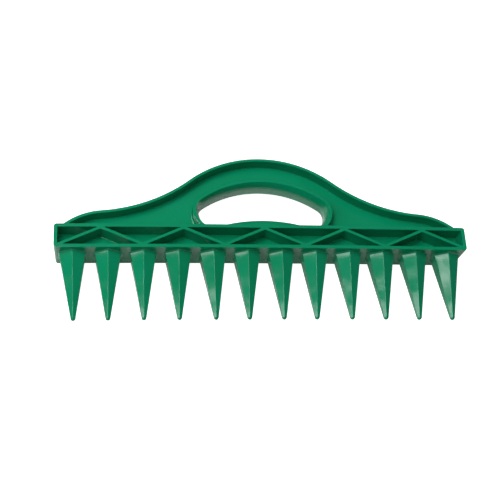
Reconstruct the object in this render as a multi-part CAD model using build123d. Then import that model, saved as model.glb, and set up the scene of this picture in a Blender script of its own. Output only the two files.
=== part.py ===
"""A one-piece moulded rake: an I-section bar with two zigzags of ribs, an arched handle
plate with a hand hole, and a row of twelve tapered teeth.

The rake lies on its back. X runs along the bar, +Y points from the tooth tips to the
crown of the handle and +Z is up, from the surface that the bar rests on. The moulding is
written as its named walls, ribs and teeth, which meet face to face.
"""
from build123d import *
import os
from math import atan, degrees, radians, sin

# ---- driving dimensions, millimetres and degrees; heights are measured along Y from the
# ---- bar's underside, where the teeth start
tooth_count = 12
tooth_pitch = 25.0
tooth_length = 49.3
tooth_half_width = 9.2
tooth_side_flat = 5.6          # half the depth of the flat on each side of a tooth
tooth_ridge = 10.9             # from the mid-plane to the front or back ridge
tooth_tip_scale = 0.16         # section at the tip over the section at the root

bar_length = 301.0
bar_height = 18.2
bar_depth = 30.0
bar_corner = 2.0
flange_wall = 2.6
end_wall = 2.6
web_wall = 2.6

rib_wall = 2.2
rib_bays = 10
rib_pitch = 29.45
rib_low = 2.4                  # centre line where two ribs meet at the lower flange
rib_high = 15.4                # centre line where two ribs meet at the upper flange

handle_depth = 23.0
crown_height = 73.75
crown_radius = 86.6
crown_angle = 38.2             # slope where the crown turns into the dip
dip_radius = 120.7
shoulder_slope = 5.2           # slope where the dip turns into the shoulder
shoulder_radius = 49.9
foot_slope = 44.0              # slope at the end of the shoulder, inside the bar
outer_rim_wall = 2.3

hole_height = 53.1
hole_radius = 75.0
hole_angle = 35.4              # slope where the hole's arch turns into its rounded end
hole_end_radius = 8.5
hole_corner_radius = 11.6
hole_rim_wall = 5.0
hole_rim_depth = 18.0
grip_radius = 4.2              # rounding of the hand hole's edges, in front and behind
sill_height = 25.5
sill_radius = 115.0

# ---- worked-out values
origin_y = (crown_height - tooth_length) / 2      # the middle of the whole height
mid = bar_depth / 2
web_low, web_high = mid - web_wall / 2, mid + web_wall / 2
handle_low, handle_high = mid - handle_depth / 2, mid + handle_depth / 2
hole_low, hole_high = mid - hole_rim_depth / 2, mid + hole_rim_depth / 2
inner_low, inner_high = flange_wall, bar_height - flange_wall
inner_end = bar_length / 2 - end_wall


def block(x0, x1, y0, y1):
    """A flat rectangle between two corners."""
    return Pos((x0 + x1) / 2, (y0 + y1) / 2) * Rectangle(x1 - x0, y1 - y0)


above_bar = block(-bar_length, bar_length, bar_height, bar_height + 2 * crown_height)


def slab(outline, low, high):
    """A flat outline as a solid from z = low to z = high, in the part's own frame."""
    return Pos(0, -origin_y, low) * extrude(outline, amount=high - low)


def mirrored_face(half):
    """The face inside the right half of an outline and its mirror image."""
    end = half[-1] @ 1
    below = Line((end.X, end.Y), (-end.X, end.Y))
    return make_face(Curve() + half + [mirror(edge, Plane.YZ) for edge in half] + below)


def handle_face(inset):
    """The handle plate above the bar, with its edge moved inwards by inset."""
    crown = JernArc((0, crown_height - inset), (1, 0), crown_radius - inset, -crown_angle)
    dip = JernArc(crown @ 1, crown % 1, dip_radius + inset, crown_angle - shoulder_slope)
    shoulder = JernArc(dip @ 1, dip % 1, shoulder_radius - inset, shoulder_slope - foot_slope)
    return mirrored_face([crown, dip, shoulder]) & above_bar


def hole_edge(growth):
    """The right half of the hand hole's edge, without its sill, moved out by growth."""
    arch = JernArc((0, hole_height + growth), (1, 0), hole_radius + growth, -hole_angle)
    end = JernArc(arch @ 1, arch % 1, hole_end_radius + growth, hole_angle - 90)
    corner = JernArc(end @ 1, end % 1, hole_corner_radius + growth, -90)
    return [arch, end, corner]


def rounded(solid, radii):
    """A solid with the front and back edges along its arcs of these radii rounded for the hand."""
    arcs = solid.edges().filter_by(GeomType.CIRCLE)
    return fillet([e for e in arcs if min(abs(e.radius - r) for r in radii) < 0.01], grip_radius)


def hand_hole():
    """The rim of the hand hole, and the sill that swells up between the rim's two feet."""
    foot = hole_edge(0)[-1] @ 1
    lining = mirrored_face(hole_edge(hole_rim_wall)) - mirrored_face(hole_edge(0))
    rim = rounded(slab(lining, hole_low, hole_high),
                  (hole_radius, hole_end_radius, hole_corner_radius))
    below_hole = block(-foot.X, foot.X, 0, foot.Y)

    sill_angle = 2 * degrees(atan((sill_height - foot.Y) / foot.X))
    flare_radius = foot.X / sin(radians(sill_angle)) - sill_radius
    swell = JernArc((0, sill_height), (1, 0), sill_radius, -sill_angle)
    flare = JernArc(swell @ 1, swell % 1, flare_radius, sill_angle)
    down = Line(flare @ 1, (foot.X, 0))
    sill = rounded(slab(mirrored_face([swell, flare, down]), hole_low, hole_high),
                   (sill_radius, flare_radius))
    return rim & slab(above_bar - below_hole, 0, bar_depth), sill & slab(above_bar, 0, bar_depth)


def handle():
    """The arched handle: a thin web between an outer rim and the hand hole's rim."""
    plate = handle_face(outer_rim_wall)
    rim, sill = hand_hole()
    return {
        "handle_web": slab(plate - mirrored_face(hole_edge(hole_rim_wall)), web_low, web_high),
        "handle_outer_rim": slab(handle_face(0) - plate, handle_low, handle_high),
        "hand_hole_rim": rim,
        "hand_hole_sill": sill,
    }


def bar():
    """The bar: two flanges, two end walls and a web at mid-depth."""
    half = bar_length / 2
    flange = block(-half, half, 0, flange_wall)
    lower = fillet(flange.vertices().group_by(Axis.Y)[0], bar_corner)
    upper = Pos(0, bar_height) * mirror(lower, Plane.XZ)
    left = block(-half, -inner_end, inner_low, inner_high)
    web = block(-inner_end, inner_end, inner_low, inner_high)
    return {
        "bar_bottom_flange": slab(lower, 0, bar_depth),
        "bar_top_flange": slab(upper, 0, bar_depth),
        "left_end_wall": slab(left, 0, bar_depth),
        "right_end_wall": slab(mirror(left, Plane.YZ), 0, bar_depth),
        "bar_web": slab(web, web_low, web_high),
    }


def rib_face(bay):
    """One rib of the zigzag, cut where it meets its neighbours, the flanges and the ends."""
    x0, x1 = (bay - rib_bays / 2) * rib_pitch, (bay + 1 - rib_bays / 2) * rib_pitch
    y0, y1 = (rib_low, rib_high) if bay % 2 == 0 else (rib_high, rib_low)
    spine = Line((x0, y0), (x1, y1))
    strip = Pos(*(spine @ 0.5)) * Rot(0, 0, spine.tangent_angle_at(0.5)) * \
        Rectangle(spine.length * 1.2, rib_wall)
    left = -inner_end if bay == 0 else x0
    right = inner_end if bay == rib_bays - 1 else x1
    return strip & block(left, right, inner_low, inner_high)


def ribs():
    """A zigzag of ribs on each side of the bar's web."""
    parts = {}
    for bay in range(rib_bays):
        parts[f"front_rib_{bay + 1:02d}"] = slab(rib_face(bay), web_high, bar_depth)
        parts[f"back_rib_{bay + 1:02d}"] = slab(rib_face(bay), 0, web_low)
    return parts


def tooth_section(scale, height):
    """The six-sided section of a tooth: a ridge in front and behind, a flat on each side."""
    wide, flat, ridge = tooth_half_width * scale, tooth_side_flat * scale, tooth_ridge * scale
    corners = [(0, ridge), (wide, flat), (wide, -flat), (0, -ridge), (-wide, -flat), (-wide, flat)]
    return Plane.XZ.offset(-height) * make_face(Polyline(corners, close=True))


def teeth():
    """The row of tapered teeth under the bar."""
    ends = [tooth_section(1, 0), tooth_section(tooth_tip_scale, -tooth_length)]
    tooth = loft(ends, ruled=True)
    first = -(tooth_count - 1) / 2 * tooth_pitch
    return {
        f"tooth_{number + 1:02d}": Pos(first + number * tooth_pitch, -origin_y, mid) * tooth
        for number in range(tooth_count)
    }


os.makedirs("parts", exist_ok=True)
for name, solid in {**handle(), **bar(), **ribs(), **teeth()}.items():
    export_step(solid, f"parts/{name}.step")
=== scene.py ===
from math import acos, atan, ceil, cos, degrees, hypot, pi, radians, sin

import bmesh
import bpy
from mathutils import Matrix, Vector


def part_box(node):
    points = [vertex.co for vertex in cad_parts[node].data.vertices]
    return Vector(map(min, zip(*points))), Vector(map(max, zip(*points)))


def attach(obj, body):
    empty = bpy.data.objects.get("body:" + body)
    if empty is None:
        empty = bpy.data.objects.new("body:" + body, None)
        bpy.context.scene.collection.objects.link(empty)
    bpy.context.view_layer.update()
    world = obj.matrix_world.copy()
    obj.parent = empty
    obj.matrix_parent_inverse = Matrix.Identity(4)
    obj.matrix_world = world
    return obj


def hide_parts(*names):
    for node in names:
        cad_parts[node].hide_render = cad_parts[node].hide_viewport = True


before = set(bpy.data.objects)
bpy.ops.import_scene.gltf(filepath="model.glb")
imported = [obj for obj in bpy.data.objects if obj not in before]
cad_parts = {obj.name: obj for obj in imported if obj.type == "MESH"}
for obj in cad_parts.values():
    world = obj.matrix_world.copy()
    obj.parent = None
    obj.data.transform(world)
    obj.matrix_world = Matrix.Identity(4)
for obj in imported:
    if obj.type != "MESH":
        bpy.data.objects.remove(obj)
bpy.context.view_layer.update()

MM = 0.001

# ---- places read from the frame, in metres
BAR_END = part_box("bar_top_flange")[1].x
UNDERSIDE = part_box("bar_bottom_flange")[0].y
INNER_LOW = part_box("bar_bottom_flange")[1].y
INNER_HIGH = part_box("bar_top_flange")[0].y
BAR_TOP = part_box("bar_top_flange")[1].y
BAR_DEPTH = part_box("bar_top_flange")[1].z
MID_DEPTH = BAR_DEPTH / 2
INNER_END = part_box("bar_web")[1].x
WEB_LOW, WEB_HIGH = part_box("bar_web")[0].z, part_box("bar_web")[1].z
HANDLE_LOW, HANDLE_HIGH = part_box("handle_outer_rim")[0].z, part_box("handle_outer_rim")[1].z
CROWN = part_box("handle_outer_rim")[1].y
HOLE_LOW, HOLE_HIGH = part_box("hand_hole_rim")[0].z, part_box("hand_hole_rim")[1].z
SILL_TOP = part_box("hand_hole_sill")[1].y
TOOTH_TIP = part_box("tooth_01")[0].y

# ---- sizes of the moulding's walls and curves; an arc is (radius, turn in degrees to the left)
OUTER_RIM_WALL = 2.3 * MM
OUTER_RIM_ARCS = [(86.6 * MM, -38.2), (120.7 * MM, 33.0), (49.9 * MM, -38.8)]
OUTER_EDGE = 0.6 * MM
HOLE_RIM_WALL = 5.0 * MM
HOLE_EDGE = 4.2 * MM
SLOPE_INSET = 2.6 * MM         # the lining's slope in front: its inset, the inset of its bend
SLOPE_BEND = 0.3 * MM          # and how far back it reaches
SLOPE_REACH = 8.0 * MM
HOLE_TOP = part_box("hand_hole_rim")[1].y - HOLE_RIM_WALL
HOLE_ARCS = [(75.0 * MM, -35.4), (8.5 * MM, -54.6), (11.6 * MM, -90.0)]
SILL_RADIUS = 115.0 * MM
BAR_CORNER = 2.0 * MM
RIB_BAYS = 10
RIB_PITCH = 29.45 * MM
RIB_WALL = 2.2 * MM
RIB_LOW, RIB_HIGH = UNDERSIDE + 2.4 * MM, UNDERSIDE + 15.4 * MM
TOOTH_TIP_SCALE = 0.16
RIDGE_SHARE = 5.6 / 10.9       # half depth of a tooth's side flat over its ridge

# ---- rounding that the moulding has and the CAD solids leave out
OUTSIDE_EDGE = 0.45 * MM
INSIDE_EDGE = 0.9 * MM
TOOTH_EDGE = 0.45 * MM
TOOTH_FILLET = 1.1 * MM
ROOT_FLARE = 0.25 * MM
FLARE_LENGTH = 6.0 * MM
SUNK = 1.0 * MM                # how far one piece reaches into the next

# ---- slight warping of the moulding
SAG = 0.8 * MM                 # drop of the bar's ends below its middle
SLICE = 12.5 * MM              # length of bar that stays straight
END_DRAFT = 0.006              # how much shorter the bar is behind than in front
HOLE_SHIFT = 0.7 * MM          # the hand hole is a little right of the middle
LEANS = {"tooth_01": 1.0 * MM, "tooth_05": 1.0 * MM, "tooth_08": -1.0 * MM}

ARC_TOLERANCE = 0.008 * MM
EDGE_STEPS = 8                 # flats in a quarter turn of a handle's edge
TOOTH_STEPS = 18               # rings along a tooth
FILLET_STEPS = 6               # flats in a tooth's root fillet
CORNER_STEPS = 4               # flats in a rounded corner of a tooth's section, and in a tip
SHARP = radians(40)            # an edge that turns more than this is drawn sharp
ROUNDED = radians(25)          # an edge of the bar that turns more than this is rounded
WIDEST_CORNER = 0.45           # largest corner radius of a tooth, over its half width


def tangent_arcs(start, arcs, growth=0.0):
    """Points along arcs that start level, heading along +X. growth moves the line to its left."""
    place, heading = Vector(start) + Vector((0, growth)), 0.0
    points = [place]
    for radius, turn in arcs:
        steps = ceil(abs(radians(turn)) / (2 * acos(1 - ARC_TOLERANCE / radius)))
        side = 1 if turn > 0 else -1
        radius -= side * growth
        centre = place + side * radius * Vector((-sin(heading), cos(heading)))
        for step in range(1, steps + 1):
            angle = heading + radians(turn) * step / steps
            points.append(centre - side * radius * Vector((-sin(angle), cos(angle))))
        place, heading = points[-1], heading + radians(turn)
    return points


def with_mirror(half):
    """The whole line whose right half is given, from left to right."""
    return [Vector((-p.x, p.y)) for p in reversed(half) if p.x > 1e-9] + list(half)


def quarter(centre, radius, start, steps=4):
    """Points on a quarter turn to the left about a centre, from a start angle in degrees."""
    angles = [radians(start + 90 * step / steps) for step in range(steps + 1)]
    return [(centre[0] + radius * cos(a), centre[1] + radius * sin(a)) for a in angles]


def new_piece(name, mesh):
    """A mesh as an object in the scene."""
    bmesh.ops.recalc_face_normals(mesh, faces=mesh.faces)
    data = bpy.data.meshes.new(name)
    mesh.to_mesh(data)
    mesh.free()
    piece = bpy.data.objects.new(name, data)
    bpy.context.scene.collection.objects.link(piece)
    return piece


def prism(mesh, outline, low, high):
    """Adds a flat outline to a mesh as a solid from z = low to z = high."""
    rings = [[mesh.verts.new((p.x, p.y, z)) for p in outline] for z in (low, high)]
    mesh.faces.new(reversed(rings[0]))
    mesh.faces.new(rings[1])
    join_rings(mesh, *rings)


def join_rings(mesh, first, second):
    """Adds the quads between two closed rings of points."""
    for i in range(len(first)):
        j = (i + 1) % len(first)
        mesh.faces.new((first[i], first[j], second[j], second[i]))


def cut_off(mesh, point, normal):
    """Removes what lies beyond a plane, on the side its normal points to, and closes the cut."""
    everything = mesh.verts[:] + mesh.edges[:] + mesh.faces[:]
    cut = bmesh.ops.bisect_plane(mesh, geom=everything, plane_co=point, plane_no=normal,
                                 clear_outer=True, dist=1e-7)
    edges = [e for e in cut["geom_cut"] if isinstance(e, bmesh.types.BMEdge)]
    bmesh.ops.holes_fill(mesh, edges=edges)


# ---- handle

def rounding(low, high, radius):
    """A free face with both its edges rounded, as (distance in, z), from the front to the back."""
    front = quarter((radius, high - radius), radius, 90, EDGE_STEPS)
    return front + quarter((radius, low + radius), radius, 180, EDGE_STEPS)


def lining():
    """The hand hole's free face: it slopes in from the front and is rounded behind."""
    slope = []
    for step in range(EDGE_STEPS + 1):
        t = step / EDGE_STEPS
        inset = SLOPE_INSET * (1 - t) ** 2 + 2 * SLOPE_BEND * t * (1 - t)
        slope.append((inset, HOLE_HIGH - SLOPE_REACH * t))
    return slope + quarter((HOLE_EDGE, HOLE_LOW + HOLE_EDGE), HOLE_EDGE, 180, EDGE_STEPS)


def rim_section(wall, low, high, free_face):
    """A rim's section as (distance in from its free face, z), with the root of the web."""
    r, f = OUTSIDE_EDGE, INSIDE_EDGE
    section = quarter((wall - r, high - r), r, 0) + free_face
    section += quarter((wall - r, low + r), r, 270)
    section += reversed(quarter((wall + f, WEB_LOW - f), f, 90))
    section += reversed(quarter((wall + f, WEB_HIGH + f), f, 180))
    return section


def sill_section():
    """The sill's section: rounded along the top, and deep enough to reach into the bar."""
    deep = SILL_TOP - BAR_TOP + 2 * SUNK
    return rounding(HOLE_LOW, HOLE_HIGH, HOLE_EDGE) + [(deep, HOLE_LOW), (deep, HOLE_HIGH)]


def swept(name, section, start, arcs, outward):
    """A section swept along arcs; outward is 1 if the section lies left of the arcs."""
    mesh = bmesh.new()
    lines = []
    for depth, z in section:
        line = with_mirror(tangent_arcs(start, arcs, outward * depth))
        lines.append([mesh.verts.new((p.x, p.y, z)) for p in line])
    rings = list(zip(*lines))
    for first, second in zip(rings, rings[1:]):
        join_rings(mesh, first, second)
    mesh.faces.new(rings[0])
    mesh.faces.new(rings[-1])
    cut_off(mesh, (0, BAR_TOP - SUNK, 0), (0, -1, 0))
    return new_piece(name, mesh)


def handle_web():
    """The thin plate inside the handle, reaching into the rims and the bar."""
    outer = with_mirror(tangent_arcs((0, CROWN), OUTER_RIM_ARCS, -OUTER_RIM_WALL / 2))
    inner = with_mirror(tangent_arcs((0, HOLE_TOP), HOLE_ARCS, HOLE_RIM_WALL / 2))
    feet = [Vector((x, BAR_TOP - SUNK)) for x in (inner[-1].x, inner[0].x)]
    outline = [p for p in outer if p.y > BAR_TOP - SUNK] + feet[:1] + inner[::-1] + feet[1:]
    mesh = bmesh.new()
    prism(mesh, outline, WEB_LOW, WEB_HIGH)
    return new_piece("moulded_handle_web", mesh)


def handle_pieces():
    """The handle's plate, its outer rim, the hand hole's rim and its sill."""
    foot = tangent_arcs((0, HOLE_TOP), HOLE_ARCS)[-1]
    swell = 2 * atan((SILL_TOP - foot.y) / foot.x)
    flare_radius = foot.x / sin(swell) - SILL_RADIUS
    sill_arcs = [(SILL_RADIUS, -degrees(swell)), (flare_radius, degrees(swell))]
    outer_rim = rim_section(OUTER_RIM_WALL, HANDLE_LOW, HANDLE_HIGH,
                            rounding(HANDLE_LOW, HANDLE_HIGH, OUTER_EDGE))
    hole_rim = rim_section(HOLE_RIM_WALL, HOLE_LOW, HOLE_HIGH, lining())
    return {
        "handle_outer_rim": swept("moulded_handle_outer_rim", outer_rim, (0, CROWN),
                                  OUTER_RIM_ARCS, -1),
        "hand_hole_rim": swept("moulded_hand_hole_rim", hole_rim, (0, HOLE_TOP), HOLE_ARCS, 1),
        "hand_hole_sill": swept("moulded_hand_hole_sill", sill_section(), (0, SILL_TOP),
                                sill_arcs, -1),
        "handle_web": handle_web(),
    }


# ---- bar

def bar_outline():
    """The bar's long rectangle with its rounded corners."""
    right, left = BAR_END - BAR_CORNER, BAR_CORNER - BAR_END
    top, bottom = BAR_TOP - BAR_CORNER, UNDERSIDE + BAR_CORNER
    corners = (((right, top), 0), ((left, top), 90), ((left, bottom), 180), ((right, bottom), 270))
    return [Vector(p) for place, start in corners for p in quarter(place, BAR_CORNER, start, 6)]


def bar_pockets():
    """The outlines between the zigzag of ribs, the flanges and the end walls."""
    slope = (RIB_HIGH - RIB_LOW) / RIB_PITCH
    rise = RIB_WALL / 2 * hypot(1, slope)
    pockets = []
    for node in range(1 - RIB_BAYS // 2, RIB_BAYS // 2):
        x = node * RIB_PITCH
        apex, base = (RIB_LOW + rise, INNER_HIGH) if node % 2 else (RIB_HIGH - rise, INNER_LOW)
        reach = abs(base - apex) / slope
        pockets.append([Vector((x - reach, base)), Vector((x, apex)), Vector((x + reach, base))])
    at_end = RIB_LOW + rise + slope * (RIB_BAYS / 2 * RIB_PITCH - INNER_END)
    reach = INNER_END - (INNER_HIGH - at_end) / slope
    for side in (-1, 1):
        corners = ((INNER_END, at_end), (INNER_END, INNER_HIGH), (reach, INNER_HIGH))
        pockets.append([Vector((side * x, y)) for x, y in corners])
    return pockets


def apply_modifiers(piece):
    """Makes a piece's modifiers part of its mesh."""
    bpy.context.view_layer.update()
    seen = piece.evaluated_get(bpy.context.evaluated_depsgraph_get())
    data = bpy.data.meshes.new_from_object(seen)
    piece.modifiers.clear()
    piece.data = data


def cut_pockets(body):
    """Cuts the bar's pockets into both of its faces."""
    mesh = bmesh.new()
    for outline in bar_pockets():
        prism(mesh, outline, WEB_HIGH, 2 * BAR_DEPTH)
        prism(mesh, outline, -BAR_DEPTH, WEB_LOW)
    cutter = new_piece("pockets", mesh)
    boolean = body.modifiers.new("pockets", "BOOLEAN")
    boolean.operation, boolean.solver, boolean.object = "DIFFERENCE", "EXACT", cutter
    apply_modifiers(body)
    bpy.data.objects.remove(cutter)


def round_edges(body):
    """Rounds the outside edges of a piece and fills its inside corners."""
    mesh = bmesh.new()
    mesh.from_mesh(body.data)
    bmesh.ops.dissolve_limit(mesh, angle_limit=radians(1), verts=mesh.verts, edges=mesh.edges)
    weight = mesh.edges.layers.float.new("bevel_weight_edge")
    for edge in mesh.edges:
        if edge.calc_face_angle() > ROUNDED:
            edge[weight] = OUTSIDE_EDGE / INSIDE_EDGE if edge.is_convex else 1.0
    mesh.to_mesh(body.data)
    mesh.free()
    bevel = body.modifiers.new("rounding", "BEVEL")
    bevel.limit_method, bevel.width, bevel.segments = "WEIGHT", INSIDE_EDGE, 4
    apply_modifiers(body)


def bar_pieces():
    """The bar, rounded as one moulding and then parted into its flanges, walls, web and ribs."""
    mesh = bmesh.new()
    prism(mesh, bar_outline(), 0, BAR_DEPTH)
    body = new_piece("bar", mesh)
    cut_pockets(body)
    round_edges(body)
    high, low = INNER_HIGH - INSIDE_EDGE, INNER_LOW + INSIDE_EDGE
    end = INNER_END - INSIDE_EDGE
    front, back = WEB_HIGH + INSIDE_EDGE, WEB_LOW - INSIDE_EDGE
    up, along, out = Vector((0, 1, 0)), Vector((1, 0, 0)), Vector((0, 0, 1))
    inside = [(high * up, up), (low * up, -up), (end * along, along), (-end * along, -along)]
    cuts = {
        "bar_top_flange": [(high * up, -up)],
        "bar_bottom_flange": [(low * up, up)],
        "left_end_wall": inside[:2] + [(-end * along, along)],
        "right_end_wall": inside[:2] + [(end * along, -along)],
        "bar_web": inside + [(front * out, out), (back * out, -out)],
    }
    for bay in range(RIB_BAYS):
        x0 = (bay - RIB_BAYS / 2) * RIB_PITCH
        between = inside + [(x0 * along, -along), ((x0 + RIB_PITCH) * along, along)]
        cuts[f"front_rib_{bay + 1:02d}"] = between + [(front * out, -out)]
        cuts[f"back_rib_{bay + 1:02d}"] = between + [(back * out, out)]
    pieces = {}
    for node, planes in cuts.items():
        mesh = bmesh.new()
        mesh.from_mesh(body.data)
        for point, normal in planes:
            cut_off(mesh, point, normal)
        pieces[node] = new_piece("moulded_" + node, mesh)
    bpy.data.objects.remove(body)
    return pieces


# ---- teeth

def tooth_ring(half_width, ridge, growth):
    """A tooth's six-sided section with rounded corners, as (x, z), grown by growth."""
    flat = ridge * RIDGE_SHARE
    corners = [Vector(c) for c in ((half_width, -flat), (half_width, flat), (0, ridge),
                                   (-half_width, flat), (-half_width, -flat), (0, -ridge))]
    radius = min(TOOTH_EDGE, WIDEST_CORNER * half_width)
    ring = []
    for i, corner in enumerate(corners):
        before = (corner - corners[i - 1]).normalized()
        after = (corners[(i + 1) % 6] - corner).normalized()
        turn = before.angle_signed(after)
        inward = (after - before).normalized()
        centre = corner + inward * radius / cos(turn / 2)
        normal = Vector((before.y, -before.x))
        for step in range(CORNER_STEPS + 1):
            spun = Matrix.Rotation(-turn * step / CORNER_STEPS, 2) @ normal
            ring.append(centre + spun * (radius + growth))
    return ring


def tooth(node):
    """A tapered tooth with a fillet at its root, soft ridges and a blunt tip."""
    low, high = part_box(node)
    middle = (low.x + high.x) / 2
    half_width, ridge = (high.x - low.x) / 2, (high.z - low.z) / 2
    length = UNDERSIDE - TOOTH_TIP
    levels = [(-SUNK, TOOTH_FILLET)]       # (distance below the bar, growth of the section)
    for step in range(FILLET_STEPS + 1):
        angle = radians(90 * step / FILLET_STEPS)
        levels.append((TOOTH_FILLET * (1 - cos(angle)), TOOTH_FILLET * (1 - sin(angle))))
    dome = half_width * TOOTH_TIP_SCALE
    for step in range(1, TOOTH_STEPS + 1):
        reach = (length - dome - TOOTH_FILLET) * step / TOOTH_STEPS
        levels.append((TOOTH_FILLET + reach, 0.0))
    for step in range(1, CORNER_STEPS):
        angle = radians(90 * step / CORNER_STEPS)
        levels.append((length - dome * (1 - sin(angle)), -dome * (1 - cos(angle))))
    mesh = bmesh.new()
    rings = []
    for depth, growth in levels:
        scale = 1 - (1 - TOOTH_TIP_SCALE) * max(depth, 0) / length
        growth += ROOT_FLARE * max(0.0, 1 - max(depth, 0) / FLARE_LENGTH) ** 2
        ring = tooth_ring(half_width * scale, ridge * scale, growth)
        rings.append([mesh.verts.new((middle + p.x, UNDERSIDE - depth, MID_DEPTH + p.y))
                      for p in ring])
    for first, second in zip(rings, rings[1:]):
        join_rings(mesh, first, second)
    mesh.faces.new(rings[0])
    mesh.faces.new(rings[-1])
    return new_piece("moulded_" + node, mesh)


# ---- finish

def slice_up(piece):
    """Cuts a long piece's faces into short lengths, so that it can follow a bend."""
    mesh = bmesh.new()
    mesh.from_mesh(piece.data)
    count = ceil(BAR_END / SLICE)
    for step in range(-count, count):
        everything = mesh.verts[:] + mesh.edges[:] + mesh.faces[:]
        bmesh.ops.bisect_plane(mesh, geom=everything, plane_co=((step + 0.5) * SLICE, 0, 0),
                               plane_no=(1, 0, 0), dist=1e-7)
    mesh.to_mesh(piece.data)
    mesh.free()


def warp(node, piece):
    """Shifts the hand hole, or leans a tooth and bends the bar and the teeth down at the ends."""
    if node.startswith("hand"):
        shift = HOLE_SHIFT if node.startswith("hand_hole") else 0.0
        for vertex in piece.data.vertices:
            vertex.co.x += shift
        return
    if not node.startswith("tooth"):
        slice_up(piece)
    lean = LEANS.get(node, 0.0)
    for vertex in piece.data.vertices:
        place = vertex.co
        place.x += lean * max(0.0, (UNDERSIDE - place.y) / (UNDERSIDE - TOOTH_TIP))
        if abs(place.x) > INNER_END and place.y > UNDERSIDE:
            place.x *= 1 - END_DRAFT * (1 - place.z / BAR_DEPTH)
        place.y -= SAG * (place.x / BAR_END) ** 2


def smooth(piece):
    """Soft shading, with flat faces kept flat and real corners kept sharp."""
    mesh = bmesh.new()
    mesh.from_mesh(piece.data)
    for face in mesh.faces:
        face.smooth = True
    for edge in mesh.edges:
        edge.smooth = edge.calc_face_angle(pi) < SHARP
    mesh.to_mesh(piece.data)
    mesh.free()
    weighted = piece.modifiers.new("normals", "WEIGHTED_NORMAL")
    weighted.keep_sharp, weighted.weight = True, 100
    apply_modifiers(piece)


def shader_node(tree, kind, **inputs):
    """A shader node with some of its inputs set."""
    node = tree.nodes.new(kind)
    for name, value in inputs.items():
        node.inputs[name.replace("_", " ")].default_value = value
    return node


def plastic():
    """Glossy green plastic with flow marks, uneven gloss, slight waves and fine scratches."""
    material = bpy.data.materials.new("green_plastic")
    material.use_nodes = True
    tree = material.node_tree
    link = tree.links.new
    shader = tree.nodes["Principled BSDF"]
    shader.inputs["IOR"].default_value = 1.5
    place = tree.nodes.new("ShaderNodeTexCoord").outputs["Object"]

    flow = shader_node(tree, "ShaderNodeTexNoise", Scale=22.0, Detail=3.0, Distortion=0.6)
    link(place, flow.inputs["Vector"])
    colours = tree.nodes.new("ShaderNodeValToRGB")
    colours.color_ramp.elements[0].position, colours.color_ramp.elements[1].position = 0.3, 0.7
    colours.color_ramp.elements[0].color = (0.0012, 0.225, 0.098, 1)
    colours.color_ramp.elements[1].color = (0.002, 0.255, 0.119, 1)
    link(flow.outputs["Fac"], colours.inputs["Fac"])
    link(colours.outputs["Color"], shader.inputs["Base Color"])

    patches = shader_node(tree, "ShaderNodeTexNoise", Scale=140.0, Detail=4.0)
    link(place, patches.inputs["Vector"])
    gloss = shader_node(tree, "ShaderNodeMapRange", To_Min=0.06, To_Max=0.16)
    link(patches.outputs["Fac"], gloss.inputs["Value"])
    link(gloss.outputs["Result"], shader.inputs["Roughness"])

    waves = shader_node(tree, "ShaderNodeTexNoise", Scale=55.0, Detail=1.0)
    link(place, waves.inputs["Vector"])
    wavy = shader_node(tree, "ShaderNodeBump", Strength=1.0, Distance=0.0004)
    link(waves.outputs["Fac"], wavy.inputs["Height"])
    grain = shader_node(tree, "ShaderNodeTexNoise", Scale=2200.0, Detail=2.0)
    link(place, grain.inputs["Vector"])
    grainy = shader_node(tree, "ShaderNodeBump", Strength=0.25, Distance=0.00003)
    link(grain.outputs["Fac"], grainy.inputs["Height"])
    link(wavy.outputs["Normal"], grainy.inputs["Normal"])
    link(grainy.outputs["Normal"], shader.inputs["Normal"])
    return material


pieces = {**handle_pieces(), **bar_pieces()}
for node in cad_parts:
    if node.startswith("tooth"):
        pieces[node] = tooth(node)
green = plastic()
for node, piece in pieces.items():
    warp(node, piece)
    smooth(piece)
    piece.data.materials.clear()
    piece.data.materials.append(green)
    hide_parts(node)
    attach(piece, "root")

# ---- camera, floor and light

TARGET = Vector((-9.53, -7.79, 15.0)) * MM
CAMERA_PLACE = Vector((-130.22, -312.1, 723.58)) * MM
ROLL = 3.35
FLOOR_HEIGHT = -0.2 * MM
PLANE_REACH = 3.0

camera = bpy.data.objects.new("camera", bpy.data.cameras.new("camera"))
bpy.context.scene.collection.objects.link(camera)
camera.data.lens = 76.95
forward = (TARGET - CAMERA_PLACE).normalized()
side = forward.cross(Vector((0, 1, 0))).normalized()
turn = Matrix.Rotation(radians(ROLL), 3, forward)
side, up = turn @ side, turn @ side.cross(forward)
axes = Matrix((side, up, -forward)).transposed().to_4x4()
camera.matrix_world = Matrix.Translation(CAMERA_PLACE) @ axes
bpy.context.scene.camera = camera


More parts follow.
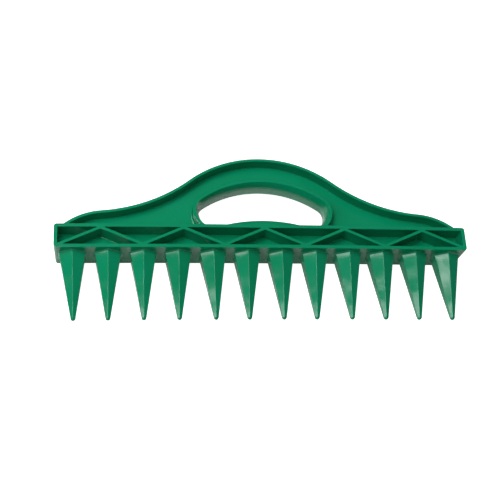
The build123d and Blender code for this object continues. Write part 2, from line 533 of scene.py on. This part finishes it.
def plane(name, height, emission):
    """A wide white plane at a height, which may glow."""
    piece = bpy.data.objects.new(name, bpy.data.meshes.new(name))
    signs = ((-1, -1), (1, -1), (1, 1), (-1, 1))
    corners = [(PLANE_REACH * x, PLANE_REACH * y, height) for x, y in signs]
    piece.data.from_pydata(corners, [], [(0, 1, 2, 3)])
    bpy.context.scene.collection.objects.link(piece)
    white = bpy.data.materials.new(name)
    white.use_nodes = True
    shader = white.node_tree.nodes["Principled BSDF"]
    shader.inputs["Base Color"].default_value = (0.8, 0.8, 0.8, 1)
    shader.inputs["Emission Color"].default_value = (1, 1, 1, 1)
    shader.inputs["Emission Strength"].default_value = emission
    piece.data.materials.append(white)
    return piece


plane("floor", FLOOR_HEIGHT, 0.14)
backdrop = plane("white_backdrop", FLOOR_HEIGHT / 2, 1.0)      # only the camera sees it
backdrop.visible_diffuse = backdrop.visible_glossy = backdrop.visible_shadow = False

world = bpy.data.worlds.new("world")
bpy.context.scene.world = world
world.use_nodes = True
world.node_tree.nodes["Background"].inputs["Color"].default_value = (1, 1, 1, 1)
world.node_tree.nodes["Background"].inputs["Strength"].default_value = 0.05


def softbox(name, place, target, width, height, radiance):
    """A rectangular lamp at a place, facing a target, with a radiance in W/m2/sr."""
    data = bpy.data.lights.new(name, "AREA")
    data.shape, data.size, data.size_y = "RECTANGLE", width, height
    data.energy = radiance * pi * width * height
    lamp = bpy.data.objects.new(name, data)
    lamp.location = place
    lamp.rotation_euler = (Vector(target) - Vector(place)).to_track_quat("-Z", "Y").to_euler()
    bpy.context.scene.collection.objects.link(lamp)
    return lamp


softbox("key", (-0.34, 0.12, 0.93), (0, 0, 0), 0.4, 0.3, 11.0)
ceiling = softbox("ceiling", (-0.3, 0.05, 0.95), (-0.3, 0.05, 0), 1.5, 1.3, 1.05)
ceiling.visible_glossy = False         # it lights the rake evenly but isn't reflected
softbox("window", (-0.76, -0.15, 0.87), (0, -0.15, 0.87), 0.28, 0.85, 5.0)
bpy.context.scene.view_settings.view_transform = "Standard"
